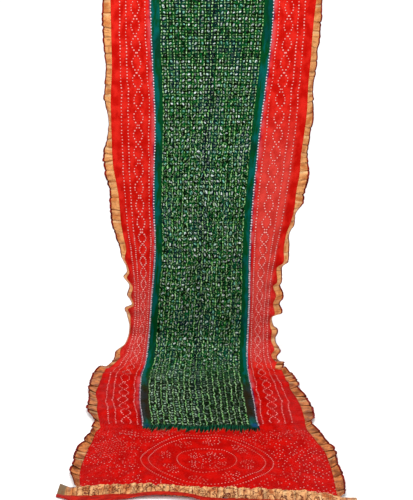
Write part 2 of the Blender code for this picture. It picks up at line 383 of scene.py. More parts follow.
def spine(along):
    """Middle line of the drape: run to the front, height over the floor and its front normal."""
    angle = np.clip((along - TURN_START) / TURN_RADIUS, 0, math.pi / 2)
    run = TURN_RADIUS * (1 - np.cos(angle)) + np.maximum(along - TURN_END, 0)
    height = TURN_RADIUS * (1 - np.sin(angle)) + np.maximum(TURN_START - along, 0)
    return run, height, np.cos(angle), np.sin(angle)


def place(x, along, lift, above=0.0006):
    """Points at x across and along the drape, lifted off its middle line and kept over the floor."""
    run, height, normal_run, normal_up = spine(along)
    height = np.maximum(height + lift * normal_up, above)
    return np.stack([x, -(run + lift * normal_run), height - TOP_HEIGHT], axis=-1)


def lying_share(along):
    """How far the cloth has gone over from hanging to lying."""
    return smooth((along - TURN_START + LYING_LEAD) / (TURN_END - TURN_START + LYING_LEAD))


def fold_lift(across, along):
    """Lift of the main folds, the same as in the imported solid."""
    lying = lying_share(along)
    gather = read(STATIONS, "along", "gather", along)
    hanging_lift = np.zeros(np.broadcast(across, along).shape)
    lying_lift = hanging_lift.copy()
    for fold in FOLDS:
        centre = fold.across + fold.drift * np.sin(2 * math.pi * along / DRIFT_LENGTH)
        rise = bump(across - centre, fold.half_width)
        hanging_lift += fold.hanging * gather * rise
        lying_lift += fold.lying * gather * rise
    for fold in CROSS_FOLDS:
        middle = fold.along + fold.slope * (across - fold.across)
        rise = bump(along - middle, fold.half_length) * bump(across - fold.across, fold.half_width)
        lying_lift += fold.height * rise
    return (1 - lying) * hanging_lift + lying * np.maximum(lying_lift, 0.0)


def crease_lift(across, along):
    """Lift of the narrow creases."""
    lift = np.zeros(np.broadcast(across, along).shape)
    for crease in CREASES:
        middle = (crease.start + crease.end) / 2
        half = (crease.end - crease.start) / 2
        centre = crease.across + crease.lean * (along - middle)
        fade = smooth(1.4 * (1 - np.abs(along - middle) / half))
        lift += crease.depth * fade * bump(across - centre, crease.half_width)
    return lift


def side_flutter(across, along):
    """Lift of the waves along both sides where the cloth is drawn in."""
    near = bump(1 - np.abs(across), FLUTTER_REACH) * bump(along - FLUTTER_MIDDLE, FLUTTER_SPREAD)
    phase = 2 * math.pi * along / FLUTTER_LENGTH + 2.1 * np.sign(across)
    wander = 1.5 * soft_noise(along / 0.11, np.sign(across) + 3.5, 5)
    return FLUTTER_HEIGHT * near * np.sin(phase + wander)


def drape_lift(across, along):
    """Lift of the cloth's middle with everything but the relief of its ties."""
    lift = fold_lift(across, along) + crease_lift(across, along) + side_flutter(across, along)
    return CLOTH_MIDDLE + lift


def end_run(across, along):
    """How much further along the drape the slanted lower end carries a place."""
    lower = smooth((along - END_LINE_START) / (CLOTH_LENGTH - END_LINE_START))
    return along + lower * read(END_LINE, "across", "run", across)


def design_across(x, along, left, right):
    """Place across in the dyed design: the borders and the green field stretch on their own."""
    green_left = read(GREEN_SIDES, "along", "left", along)
    green_right = read(GREEN_SIDES, "along", "right", along)
    field = HALF_GREEN * (2 * (x - green_left) / (green_right - green_left) - 1)
    border = HALF_CLOTH - HALF_GREEN
    left_part = -HALF_GREEN - border * (green_left - x) / (green_left - left)
    right_part = HALF_GREEN + border * (x - green_right) / (right - green_right)
    return np.where(x < green_left, left_part, np.where(x > green_right, right_part, field))


def tie_relief(design, along):
    """Fine relief of the tied and crinkled cloth."""
    in_green = smooth((HALF_GREEN - np.abs(design)) / 0.01) * (along < GREEN_END)
    ties = np.cos(2 * math.pi * design / CELL) * np.cos(2 * math.pi * along / ROW_CELL)
    streaks = np.cos(2 * math.pi * design / CELL) * lying_share(along)
    crinkle = soft_noise(design / 0.021, along / 0.0085, 7)
    crinkle = crinkle + 0.7 * soft_noise(design / 0.009, along / 0.03, 8)
    relief = in_green * (TIE_RELIEF * ties + STREAK_RELIEF * streaks)
    return relief + CRINKLE * crinkle * (0.45 + 0.25 * in_green)


def add_mesh(name, points, flat, material, extras=None, closed=False):
    """Named object of a grid of points, with its flat places as a map and its extra attributes."""
    rows, columns = points.shape[:2]
    index = np.arange(rows * columns).reshape(rows, columns)
    if closed:
        index = np.concatenate([index, index[:, :1]], axis=1)
    quads = np.stack([index[:-1, :-1], index[1:, :-1], index[1:, 1:], index[:-1, 1:]], axis=-1)
    mesh = bpy.data.meshes.new(name)
    mesh.from_pydata(points.reshape(-1, 3).tolist(), [], quads.reshape(-1, 4).tolist())
    corners = np.empty(len(mesh.loops), np.int32)
    mesh.loops.foreach_get("vertex_index", corners)
    layer = mesh.uv_layers.new(name="flat")
    layer.data.foreach_set("uv", flat.reshape(-1, 2)[corners].astype(np.float32).ravel())
    for key, values in (extras or {}).items():
        attribute = mesh.attributes.new(key, "FLOAT", "POINT")
        attribute.data.foreach_set("value", values.reshape(-1).astype(np.float32))
    mesh.shade_smooth()
    mesh.materials.append(material)
    piece = bpy.data.objects.new(name, mesh)
    bpy.context.scene.collection.objects.link(piece)
    return piece


def make_cloth(material):
    """The dyed cloth, one thin sheet with its top edge folded back as a hem."""
    along = np.linspace(0, CLOTH_LENGTH, CLOTH_ROWS + 1)[:, None]
    share = np.linspace(0, 1, CLOTH_COLUMNS + 1)[None, :]
    across = 2 * share - 1
    left = read(STATIONS, "along", "left", along)
    right = read(STATIONS, "along", "right", along)
    x = left + (right - left) * share
    for side, sign in SIDES.items():
        near = smooth((sign * across - 1 + SWAY_SHARE) / SWAY_SHARE)
        x = x + sign * near * read(SIDE_WAVES[side], "along", "sway", along)
    design = design_across(x, along, left, right)
    lift = drape_lift(across, along) + tie_relief(design, along)
    points = place(x, end_run(across, along), lift)
    hem_along = np.array([HEM_DEPTH, HEM_DEPTH * 0.5, 0.0012])[:, None]
    hem_lift = np.array([-0.0011, -0.0013, -0.0008])[:, None]
    hem_points = place(x[:3] * 0 + x[0], hem_along + 0 * share, lift[:1] + hem_lift)
    flat = np.stack([design, along + 0 * design], axis=-1)
    hem_flat = np.stack([design[:3] * 0 + design[0], -hem_along + 0 * share], axis=-1)
    points = np.concatenate([hem_points, points])
    flat = np.concatenate([hem_flat, flat])
    return add_mesh("dyed_cloth", points, flat, material)


class Pleats:
    """Path of a gathered strip, in rows across it.

    Each row has its place along, lift, painted shade near its fold, painted highlight on a fold, width and
    slant.
    """

    def __init__(self, seed, total, zones):
        draw = random.Random(seed)
        shares = [smooth(step / 11) * 0.4 + step / 11 * 0.6 for step in range(12)]
        rows = []
        start, overlap, slant = 0.0, 0.0, 0.0
        while start < total - 1e-6:
            zone = [zone for zone in zones if zone.start <= start + 1e-9][-1]
            length = draw.uniform(zone.shortest, zone.longest)
            if total - start - length < zone.shortest:
                length = total - start
            ends_here = start + length > total - 1e-6
            next_overlap = 0.0 if ends_here else zone.overlap * draw.uniform(0.2, 1.2)
            height = zone.height * draw.uniform(0.3, 1.2)
            puff = draw.uniform(0.2, 0.8) * height
            full = draw.uniform(0.93, 1.05)
            # How dark this pleat's painted shade is, and below how bright its painted highlight is
            depth = draw.uniform(0.35, 1.0)
            highlight_strength = draw.choice((0.0, 0.4, 1.0))
            next_slant = 0.0 if ends_here else draw.uniform(-1, 1)
            first, last = start - overlap / 2, start + length + next_overlap / 2
            for share in shares:
                lift = height * share**1.3 + puff * math.sin(math.pi * share)
                from_fold = min(share, 1 - share + 0.004 / length) * length
                # Painted shade near each fold of the pleat
                tuck = depth * max(0.0, 1 - from_fold / 0.006)
                # Painted highlight just past the fold on some pleats
                gleam = highlight_strength * max(0.0, 1 - abs(share * length - 0.010) / 0.006)
                width = full * min(1.0, 0.93 + 0.07 * from_fold / 0.010)
                turned = slant + (next_slant - slant) * share
                rows.append((first + (last - first) * share, lift, tuck, gleam, width, turned))
            if next_overlap:
                rows.append((last - 0.0006, height - 0.0010, depth, 0.0, width, next_slant))
                rows.append((last - next_overlap / 2, height * 0.45, depth, 0.0, width * 0.96, next_slant))
            start += length
            overlap, slant = next_overlap, next_slant
        columns = (column[:, None] for column in np.array(rows).T)
        self.along, self.lift, self.tuck, self.gleam, self.width, self.slant = columns
        steps = np.diff(self.along[:, 0])
        self.path = np.concatenate([[0], np.cumsum(np.hypot(steps, np.diff(self.lift[:, 0])))])[:, None]


# Where gathers of each kind start: the length between their folds, their overlap and their height
PleatZone = namedtuple("PleatZone", "start shortest longest overlap height")
SIDE_ZONES = (
    PleatZone(0.00, 0.030, 0.080, 0.003, 0.0030),
    PleatZone(0.42, 0.022, 0.055, 0.004, 0.0040),
    PleatZone(0.92, 0.022, 0.060, 0.004, 0.0050),
    PleatZone(1.60, 0.035, 0.090, 0.005, 0.0060),
)
END_ZONES = (PleatZone(0.00, 0.010, 0.032, 0.004, 0.0040),)

SIDES = {"left": -1, "right": 1}
SIDE_SEEDS = {"left": 11, "right": 23}
SEAM_OVERLAP = 0.0025
SLANT_REACH = 0.009
RIM_SHARE = 0.84
RIM_MIDDLE = 0.91
RIM_HALF = 0.10
HANGING_LEAN = -0.8
LYING_LEAN = 0.35


def edging_frame(side, pleats, share):
    """Points of a side strip at shares of its width, 0 at the seam and 1 at its outer rim."""
    sign = SIDES[side]
    waves = SIDE_WAVES[side]
    along = np.clip(pleats.along + pleats.slant * SLANT_REACH * share, 0.0, CLOTH_LENGTH)
    across = sign * np.ones_like(along)
    rim_x = read(STATIONS, "along", side, along) + sign * read(waves, "along", "sway", along)
    pucker = 1 + 0.07 * soft_noise(along / 0.011, 0 * along + 3.5, SIDE_SEEDS[side]) * share
    reach = read(waves, "along", "reach", along) * pleats.width * pucker
    whole = EDGING_WIDTH + BINDING_WIDTH
    lean = HANGING_LEAN + (LYING_LEAN - HANGING_LEAN) * smooth((along - 1.46) / 0.16)
    back = lean * np.sqrt(np.maximum(whole**2 - reach**2, 0))
    wrinkle = 0.0009 * soft_noise(along / 0.012, share * 2.5 + 7, 31) * (1 - bump(share, 0.2))
    off = pleats.lift * (0.35 + 0.65 * share) + wrinkle + 0.0006
    x = rim_x + sign * ((reach + SEAM_OVERLAP) * share - SEAM_OVERLAP)
    lift = drape_lift(across, along) + back * share**1.4 + off
    return x, along, lift, across


def make_edging(side, pleats, material):
    """Gold tissue strip down one side, gathered in soft pleats."""
    share = RIM_SHARE * np.linspace(0, 1, 10)[None, :]
    x, along, lift, across = edging_frame(side, pleats, share)
    points = place(x, end_run(across, along), lift)
    flat = np.stack([share * EDGING_WIDTH + 0 * along, pleats.path + 0 * share], axis=-1)
    extras = {
        "tuck": pleats.tuck + 0 * share,
        "gleam": pleats.gleam + 0 * share,
        "rim": share / RIM_SHARE + 0 * along,
        "crumple": 0.10 + 0.25 * lying_share(along),
    }
    return add_mesh(f"gold_edging_{side}", points, flat, material, extras)


def make_binding(side, pleats, material):
    """Narrow binding folded over the outer rim of a side edging, a flattened tube."""
    turn = np.linspace(0, 2 * math.pi, 10, endpoint=False)[None, :]
    share = RIM_MIDDLE - RIM_HALF * np.cos(turn)
    x, along, lift, across = edging_frame(side, pleats, share)
    uneven = 1 + 0.35 * soft_noise(pleats.path / 0.03, 1.5 + 0 * pleats.path, 41)
    lift = lift + 0.0013 * np.sin(turn) * uneven
    points = place(x, end_run(across, along), lift)
    flat = np.stack([share * EDGING_WIDTH + 0 * along, pleats.path + 0 * share], axis=-1)
    return add_mesh(f"red_binding_{side}", points, flat, material, closed=True)


def cloth_end_y(x):
    """Front place of the cloth's lower end at x."""
    left, right = STATIONS[-1].left, STATIONS[-1].right
    across = np.clip(2 * (x - left) / (right - left) - 1, -1, 1)
    run = spine(CLOTH_LENGTH + read(END_LINE, "across", "run", across))[0]
    return -run


def frill_shape(pleats, share):
    """Points of the end frill at shares of its section, 0 at the seam and 1 at its foot."""
    first, last = FRILL[0].x, FRILL[-1].x
    x = np.clip(first + pleats.along + pleats.slant * 0.010 * (share - 0.5), first, last)
    height = read(FRILL, "x", "height", x)
    run = read(FRILL, "x", "run", x) - FRILL_DRAWN_IN
    flatness = smooth((height - 0.002) / 0.012)
    tilted = x / 0.017 + 1.1 * share
    crumple = 1 - 2 * np.abs(soft_noise(tilted, share * 2.6 + 2, 51))
    fine = 1 - 2 * np.abs(soft_noise(x / 0.008 - 2.0 * share, share * 4 + 9, 52))
    arch = np.sin(math.pi * share**0.85)
    up = height * arch * (0.80 + flatness * (0.14 * crumple + 0.12 * fine))
    up += arch * pleats.lift * flatness
    tip = FRILL_TIP_BACK * np.clip(1 - (x - first) / FRILL_TIP_WIDTH, 0, 1) * (1 - share)
    out = run * share + flatness * (0.0050 * crumple + 0.0035 * fine - 0.003) * share
    y = cloth_end_y(x) + SEAM_OVERLAP * (1 - share) - out + tip
    return np.stack([x, y, np.maximum(up, 0.0) + 0.0012 - TOP_HEIGHT], axis=-1)


def make_frill(pleats, material):
    """Gold frill across the lower end, gathered tight and crumpled."""
    share = np.linspace(0, 1, 19)[None, :]
    points = frill_shape(pleats, share)
    flat = np.stack([share * FRILL_FLAT_WIDTH + 0 * pleats.path, pleats.path + 0 * share], axis=-1)
    in_folds = smooth((points[..., 0] - FRILL[0].x) / 0.07 - 0.2)
    extras = {
        # Painted shade in the frill's folds, and an even share of it over the flat tip
        "tuck": pleats.tuck * in_folds * 0.7 + 0.35 * (1 - in_folds),
        "gleam": pleats.gleam * in_folds,
        "rim": 0.5 + 0 * in_folds,
        "crumple": in_folds,
    }
    return add_mesh("gold_edging_end", points, flat, material, extras)


def make_band(material):
    """Plain red band in front of the frill, a flattened tube with a soft wave."""
    x = np.linspace(END_BAND[0].x, END_BAND[-1].x, 260)[:, None]
    turn = np.linspace(0, 2 * math.pi, 22, endpoint=False)[None, :]
    width = read(END_BAND, "x", "width", x) + 0.014
    lift = read(END_BAND, "x", "lift", x) * 1.3
    share = (1 - np.cos(turn)) / 2
    wave = 0.0016 * soft_noise(x / 0.03, share * 1.5 + 4, 61)
    foot = cloth_end_y(x) - read(FRILL, "x", "run", x) + FRILL_DRAWN_IN + 0.003
    y = foot - width * share + 0.0025 * soft_noise(x / 0.045, 0 * x + 6.5, 62) * share
    arch = smooth(2.2 * share) * (1 - 0.2 * share)
    thick = 0.0012 * np.sin(turn) * np.clip(width / 0.02, 0.5, 1)
    up = 0.0016 + (lift + 0.003) * arch + wave + thick
    points = np.stack([x + 0 * turn, y, np.maximum(up, 0.0004) - TOP_HEIGHT], axis=-1)
    flat = np.stack([share * width, x + 0 * share], axis=-1)
    return add_mesh("red_binding_end", points, flat, material, closed=True)


def dye(red, green, blue):
    """Linear colour from screen values of 0 to 255."""
    def linear(value):
        value /= 255
        return value / 12.92 if value <= 0.04045 else ((value + 0.055) / 1.055) ** 2.4

    return (linear(red) / LIGHT_LEVEL, linear(green) / LIGHT_LEVEL, linear(blue) / LIGHT_LEVEL, 1.0)


class Signal:
    """One number in a material's node tree, with arithmetic that adds Math nodes."""

    def __init__(self, tree, socket):
        self.tree, self.socket = tree, socket

    def use(self, operation, *others, clamp=False):
        node = self.tree.nodes.new("ShaderNodeMath")
        node.operation = operation
        node.use_clamp = clamp
        for spot, value in enumerate((self, *others)):
            if isinstance(value, Signal):
                self.tree.links.new(value.socket, node.inputs[spot])
            else:
                node.inputs[spot].default_value = value
        return Signal(self.tree, node.outputs[0])

    def __add__(self, other):
        return self.use("ADD", other)

    def __sub__(self, other):
        return self.use("SUBTRACT", other)

    def __mul__(self, other):
        return self.use("MULTIPLY", other)

    def __truediv__(self, other):
        return self.use("DIVIDE", other)

    def __neg__(self):
        return self * -1.0

    def __abs__(self):
        return self.use("ABSOLUTE")

    def __rsub__(self, other):
        return -self + other

    __radd__ = __add__
    __rmul__ = __mul__

    def squared(self):
        return self * self

    def sine(self):
        return self.use("SINE")

    def least(self, other):
        return self.use("MINIMUM", other)

    def most(self, other):
        return self.use("MAXIMUM", other)

    def nearest(self, pitch):
        """The closest whole number of pitches."""
        return (self + pitch / 2).use("SNAP", pitch)

    def odd(self):
        """1 where this whole number is odd, 0 where it is even."""
        half = self * 0.5
        return (half - half.use("FLOOR")) * 2.0

    def rise(self, low, high):
        """Ease from 0 at low to 1 at high."""
        node = self.tree.nodes.new("ShaderNodeMapRange")
        node.interpolation_type = "SMOOTHSTEP"
        self.tree.links.new(self.socket, node.inputs["Value"])
        node.inputs["From Min"].default_value = low
        node.inputs["From Max"].default_value = high
        return Signal(self.tree, node.outputs["Result"])

    def fall(self, low, high):
        """Ease from 1 at low to 0 at high."""
        return 1.0 - self.rise(low, high)


def length_of(a, b):
    """Distance from the lengths along two directions at right angles."""
    return (a.squared() + b.squared()).use("SQRT")


class Dyer:
    """A material's nodes: signals read from the mesh, noises, colours and the final shader."""

    def __init__(self, name):
        self.material = bpy.data.materials.new(name)
        self.material.use_nodes = True
        self.tree = self.material.node_tree
        self.shader = self.tree.nodes["Principled BSDF"]

    def flat_places(self):
        """The two flat measures that the mesh carries."""
        source = self.tree.nodes.new("ShaderNodeUVMap")
        source.uv_map = "flat"
        parts = self.tree.nodes.new("ShaderNodeSeparateXYZ")
        self.tree.links.new(source.outputs["UV"], parts.inputs[0])
        return Signal(self.tree, parts.outputs["X"]), Signal(self.tree, parts.outputs["Y"])

    def attribute(self, key):
        node = self.tree.nodes.new("ShaderNodeAttribute")
        node.attribute_name = key
        return Signal(self.tree, node.outputs["Fac"])

    def joined(self, a, b):
        """Vector socket from two signals."""
        node = self.tree.nodes.new("ShaderNodeCombineXYZ")
        self.tree.links.new(a.socket, node.inputs[0])
        self.tree.links.new(b.socket, node.inputs[1])
        return node.outputs[0]

    def noise(self, a, b, detail=2.0):
        """Smooth noise from 0 to 1 over two signals, with cells of about one unit."""
        node = self.tree.nodes.new("ShaderNodeTexNoise")
        node.noise_dimensions = "2D"
        node.inputs["Scale"].default_value = 1.0
        node.inputs["Detail"].default_value = detail
        self.tree.links.new(self.joined(a, b), node.inputs["Vector"])
        return Signal(self.tree, node.outputs[0])

    def chances(self, a, b):
        """Three random numbers from 0 to 1 for each pair of whole numbers."""
        node = self.tree.nodes.new("ShaderNodeTexWhiteNoise")
        node.noise_dimensions = "2D"
        self.tree.links.new(self.joined(a, b), node.inputs["Vector"])
        parts = self.tree.nodes.new("ShaderNodeSeparateColor")
        self.tree.links.new(node.outputs["Color"], parts.inputs[0])
        return [Signal(self.tree, parts.outputs[k]) for k in range(3)]

    def paint(self, base, colour, amount):
        """A colour laid over a base by an amount from 0 to 1."""
        node = self.tree.nodes.new("ShaderNodeMix")
        node.data_type = "RGBA"
        self.tree.links.new(amount.socket, node.inputs["Factor"])
        for spot, value in ((6, base), (7, colour)):
            if isinstance(value, tuple):
                node.inputs[spot].default_value = value
            else:
                self.tree.links.new(value, node.inputs[spot])
        return node.outputs[2]

    def set(self, socket, value):
        """Link a signal or a colour to the shader, or set a plain value on it."""
        target = self.shader.inputs[socket]
        if isinstance(value, Signal):
            self.tree.links.new(value.socket, target)
        elif isinstance(value, bpy.types.NodeSocket):
            self.tree.links.new(value, target)
        else:
            target.default_value = value

    def relief(self, height, strength):
        """Bump from a height in metres."""
        node = self.tree.nodes.new("ShaderNodeBump")
        node.inputs["Strength"].default_value = strength
        node.inputs["Distance"].default_value = 1.0
        self.tree.links.new(height.socket, node.inputs["Height"])
        self.tree.links.new(node.outputs[0], self.shader.inputs["Normal"])


def dotted_run(dyer, across, along, start, swing, pitch, radius):
    """How far each place is from the tied dots of a line, in dot sizes.

    The line starts at a place across and swings to both sides of it by a given reach. Its dots are
    crowded where the cloth is drawn in, and stay round there.
    """
    drawn_in = along.rise(0.75, 1.20) * along.fall(1.42, 1.62)
    crowded = along + along.most(CROWD_START).least(CROWD_END) * CROWDING
    spot = crowded.nearest(pitch)
    chance = dyer.chances(spot * (1 / pitch), across.use("SIGN") + start * 40)
    centre = (spot * (2 * math.pi / CHAIN_PERIOD)).sine() * swing + (chance[0] - 0.5) * 0.0022 + start
    size = (chance[1] * 0.5 + 0.72) * (drawn_in * 0.35 + 1.0)
    slide = (chance[2] - 0.5) * 0.0024
    return length_of((across - centre) * (1.0 - drawn_in * 0.15), crowded - spot + slide) / (size * radius)


def dotted_oval(across, along, half_width, half_length, fullness, pitch, radius):
    """How far each place is from the tied dots of a closed outline, in dot sizes."""
    wide, long = abs(across / half_width), abs(along / half_length)
    level = wide.squared() + long.use("POWER", fullness)
    slope_across = wide * (2 / half_width)
    slope_along = long.use("POWER", fullness - 1) * (fullness / half_length)
    away = abs(level - 1.0) / length_of(slope_across, slope_along)
    angle = (along / half_length).use("ARCTAN2", across / half_width)
    middling = (half_width + half_length) / 2
    count = round(2 * math.pi * middling / pitch)
    around = (angle - angle.nearest(2 * math.pi / count)) * middling
    return length_of(away, around) / radius


def dotted_ring(across, along, ring, count, radius):
    """How far each place is from the tied dots of a small circle, in dot sizes."""
    reach = length_of(across, along)
    angle = along.use("ARCTAN2", across)
    around = (angle - angle.nearest(2 * math.pi / count)) * ring
    return length_of(reach - ring, around) / radius


def green_field(dyer, across, along):
    """Grid of tied dots on the green field, in dot sizes: curls in the cells, dashes on the lines."""
    uneven = along.rise(0.20, 0.80)
    lying = along.rise(1.50, 1.75)
    wavy = dyer.noise(across * 24.0, along * 11.0, 1.0)
    shaky = dyer.noise(across * 9.0, along * 36.0 + 20.0, 1.0)
    frizzy = dyer.noise(across * 60.0 + 5.0, along * 60.0, 1.0)
    columns = (across + (wavy - 0.5) * 0.0090 + (frizzy - 0.5) * uneven * 0.0075) * (2 / CELL)
    rows = (along + (shaky - 0.5) * 0.0110 + (frizzy - 0.5) * uneven * 0.0120) * (2 / ROW_CELL)
    column, row = columns.nearest(1.0), rows.nearest(1.0)
    odd_column, odd_row = abs(column).odd(), abs(row).odd()
    in_cell = odd_column * odd_row
    level_line = odd_column * (1.0 - odd_row)
    chance = dyer.chances(column, row)
    other = dyer.chances(row + 91.0, column)
    beside = columns - column + (chance[0] - 0.5) * (uneven * 0.16 + 0.30)
    beyond = rows - row + (chance[1] - 0.5) * (uneven * 0.30 + 0.30)
    lean = (other[0] - 0.5) * (in_cell * 2.2 + uneven * 0.6 + 0.3)
    turned_beside = beside * lean.use("COSINE") - beyond * lean.sine()
    turned_beyond = beside * lean.sine() + beyond * lean.use("COSINE")
    wide = in_cell * 0.08 + level_line * 0.24 + 0.12 + other[1] * 0.10 + lying * 0.03
    stretch = (uneven * other[1] * 0.24 + lying * 0.20) * (1.0 - level_line)
    long = in_cell * (other[2] * 0.20 + 0.04) + 0.31 - level_line * 0.20 + stretch
    away = length_of(turned_beside / wide, turned_beyond / long)
    hole = length_of(turned_beside / wide - (other[1] - 0.35) * 0.9, turned_beyond / long - 0.15)
    hollow = in_cell * hole.fall(0.20, 0.60) * other[2].rise(0.30, 0.45)
    crowd = dyer.noise(across * 11.0, along * 8.0 + 50.0, 2.0).rise(0.30, 0.62) * 0.5 + 0.5
    strength = in_cell * (chance[2].rise(0.0, 0.5) * crowd) + (1.0 - in_cell) * (chance[2] * 0.5 + 0.5)
    faded = (chance[2] + other[1] * 0.6).fall(0.25, 0.75) * uneven
    sparse = in_cell * across.rise(-0.03, 0.05) * 0.6 + level_line * 0.5
    strength = strength * (1.0 - level_line * 0.45) * (1.0 - faded * 0.5) * (1.0 - sparse * lying)
    empty_row = 1.0 - in_cell * along.rise(0.243, 0.250) * along.fall(0.278, 0.285) * 0.9
    within = abs(across).fall(HALF_GRID + 0.002, HALF_GRID + 0.004)
    specks, luck = diagonal_dots(dyer, across, along, 0.0125, 0.0015, 0.010)
    marks = away.fall(0.65, 1.25) * (1.0 - hollow) * strength * empty_row
    specks = specks.fall(0.5, 1.2) * luck[2].rise(0.35, 0.80) * (uneven * 0.55 + 0.20 - lying * 0.60)
    marks = marks.most(specks) * within
    shade = away.rise(0.9, 1.3) * away.fall(1.6, 2.6) * within
    return marks, shade, in_cell, chance


def medallion(dyer, across, along):
    """Distance to the tied dots of the end panel's oval, its ring and the flower sprigs inside."""
    middle = along - MEDALLION_MIDDLE
    wobble = (dyer.noise(across * 16.0, along * 16.0, 1.0) - 0.5) * 0.010
    wavy = middle + wobble
    missing = dyer.noise(across * 62.0, along * 62.0, 1.0).fall(0.40, 0.47)
    away = dotted_oval(across, wavy, 0.222, 0.193, 1.65, 0.0105, 0.0027)
    away = away.least(dotted_oval(across, wavy, 0.196, 0.168, 1.65, 0.0105, 0.0027))
    away = away.least(dotted_oval(across, wavy, 0.100, 0.088, 2.0, 0.0100, 0.0026))
    angle = middle.use("ARCTAN2", across)
    reach = length_of(across, middle)
    for count, radius, start in ((8, 0.139, 0.2), (4, 0.050, math.pi / 4)):
        turned = angle - start
        local = turned - turned.nearest(2 * math.pi / count)
        out = (reach * local.use("COSINE") - radius + wobble * 1.5) * 1.25
        side = reach * local.sine() * 0.85 + wobble * 2.0
        for ring, dots in ((0.0085, 5), (0.0175, 9), (0.0265, 13)):
            away = away.least(dotted_ring(out, side, ring, dots, 0.0026) + missing * 9.0)
    return away.least(dotted_ring(across, middle, 0.013, 7, 0.0025))


def diagonal_dots(dyer, across, along, pitch, radius, wander):
    """Distance to the tied dots of a diagonal lattice, in dot sizes, with three chances for each."""
    tilted, other = across + along, across - along
    u, v = tilted.nearest(pitch), other.nearest(pitch)
    chance = dyer.chances(u * (1 / pitch), v * (1 / pitch))
    off_u = tilted - u + (chance[0] - 0.5) * wander
    off_v = other - v + (chance[1] - 0.5) * wander
    return length_of(off_u, off_v) / (1.414 * radius), chance


def end_panel(dyer, across, along):
    """Distance to the tied dots of the red end panel around its medallion."""
    middle = abs(along - MEDALLION_MIDDLE)
    inside = ((across / 0.236).squared() + (middle / 0.208).use("POWER", 1.65)).fall(0.98, 1.02)
    on_right = across.rise(0.05, 0.25)
    loose, chance = diagonal_dots(dyer, across, along, 0.0215, 0.0023, 0.014)
    patchy = dyer.noise(across * 9.0 + 3.0, along * 9.0, 1.0)
    loose = loose + (chance[2] + (patchy - 0.5) * 1.2 + on_right * 0.25).fall(0.34, 0.44) * 9.0
    sloping = along - across * 0.55
    tight, chance = diagonal_dots(dyer, across, sloping, 0.0185, 0.0020, 0.006)
    corner = length_of((across + 0.325) / 0.060, (along - 2.375) / 0.080).fall(0.9, 1.1)
    away = loose.least(tight + (1.0 - corner) * 9.0)
    spot = across.nearest(0.0118)
    slanted = along - across * 0.2 + patchy * 0.014
    rows = (
        (slanted, 2.303, -0.2, 0.1),
        (slanted, 2.325, -0.23, 0.08),
        (along, 2.648, 0.1, 0.3),
    )
    for level, start, centre, half in rows:
        row = length_of(across - spot, level - start) / 0.0026
        away = away.least(row + abs(across - centre).rise(half, half + 0.01) * 9.0)
    return away + inside * 9.0 + along.fall(2.215, 2.225) * 9.0


def border_dots(dyer, side, along):
    """Distance to the dots of the borders' lines and of their chain of lozenges."""
    wander = dyer.noise(side * 3.0, along * 8.0 + 30.0, 1.0) - 0.5
    side = side + wander * (along.rise(1.5, 1.8) * 0.010 + 0.010)
    away = dotted_run(dyer, side, along, 0.361, 0.0, TIE_PITCH, TIE_RADIUS)
    for start in (0.336, 0.259):
        away = away.least(dotted_run(dyer, side, along, start, 0.0, TIE_PITCH, TIE_RADIUS))
    for swing in (0.017, -0.017):
        away = away.least(dotted_run(dyer, side, along, 0.299, swing, CHAIN_PITCH, TIE_RADIUS))
    return away + along.rise(BORDER_END - 0.001, BORDER_END + 0.002) * 9.0


def green_ground(dyer, across, along, side):
    """Colour of the green field: its cloudy dye with the teal strip beside its grid, and painted shade
    along its middle fold crease and where it lies on the floor.
    """
    cloudy = dyer.noise(across * 70.0, along * 46.0, 3.0)
    blotches = dyer.noise(across * 46.0, along * 13.0, 2.0)
    bluish = dyer.noise(across * 15.0 + 7.0, along * 7.0, 2.0)
    field = dyer.paint(dye(0, 20, 0), dye(0, 98, 38), cloudy.rise(0.38, 0.74))
    field = dyer.paint(field, dye(6, 50, 70), bluish.rise(0.50, 0.68) * 0.35)
    # Painted shade: darker where the field lies on the floor
    field = dyer.paint(field, dye(0, 10, 0), along.rise(1.58, 1.80) * 0.88)
    # Painted shade along the middle fold crease
    fold_shade = side.fall(0.006, 0.020) * along.fall(2.0, 2.2)
    field = dyer.paint(field, dye(4, 18, 34), fold_shade * 0.75)
    teal = (blotches + (side - 0.218) * 11.0).rise(0.40, 0.66)
    strip = dyer.paint(dye(0, 74, 32), dye(0, 96, 90), teal)
    strip = dyer.paint(strip, dye(0, 50, 40), bluish.rise(0.52, 0.66) * 0.6)
    sooty = along.rise(1.66, 1.86) * (along + blotches * 0.05).fall(2.10, 2.19)
    strip = dyer.paint(strip, dye(44, 10, 14), sooty * 0.8)
    return dyer.paint(field, strip, side.rise(HALF_GRID + 0.001, HALF_GRID + 0.006))


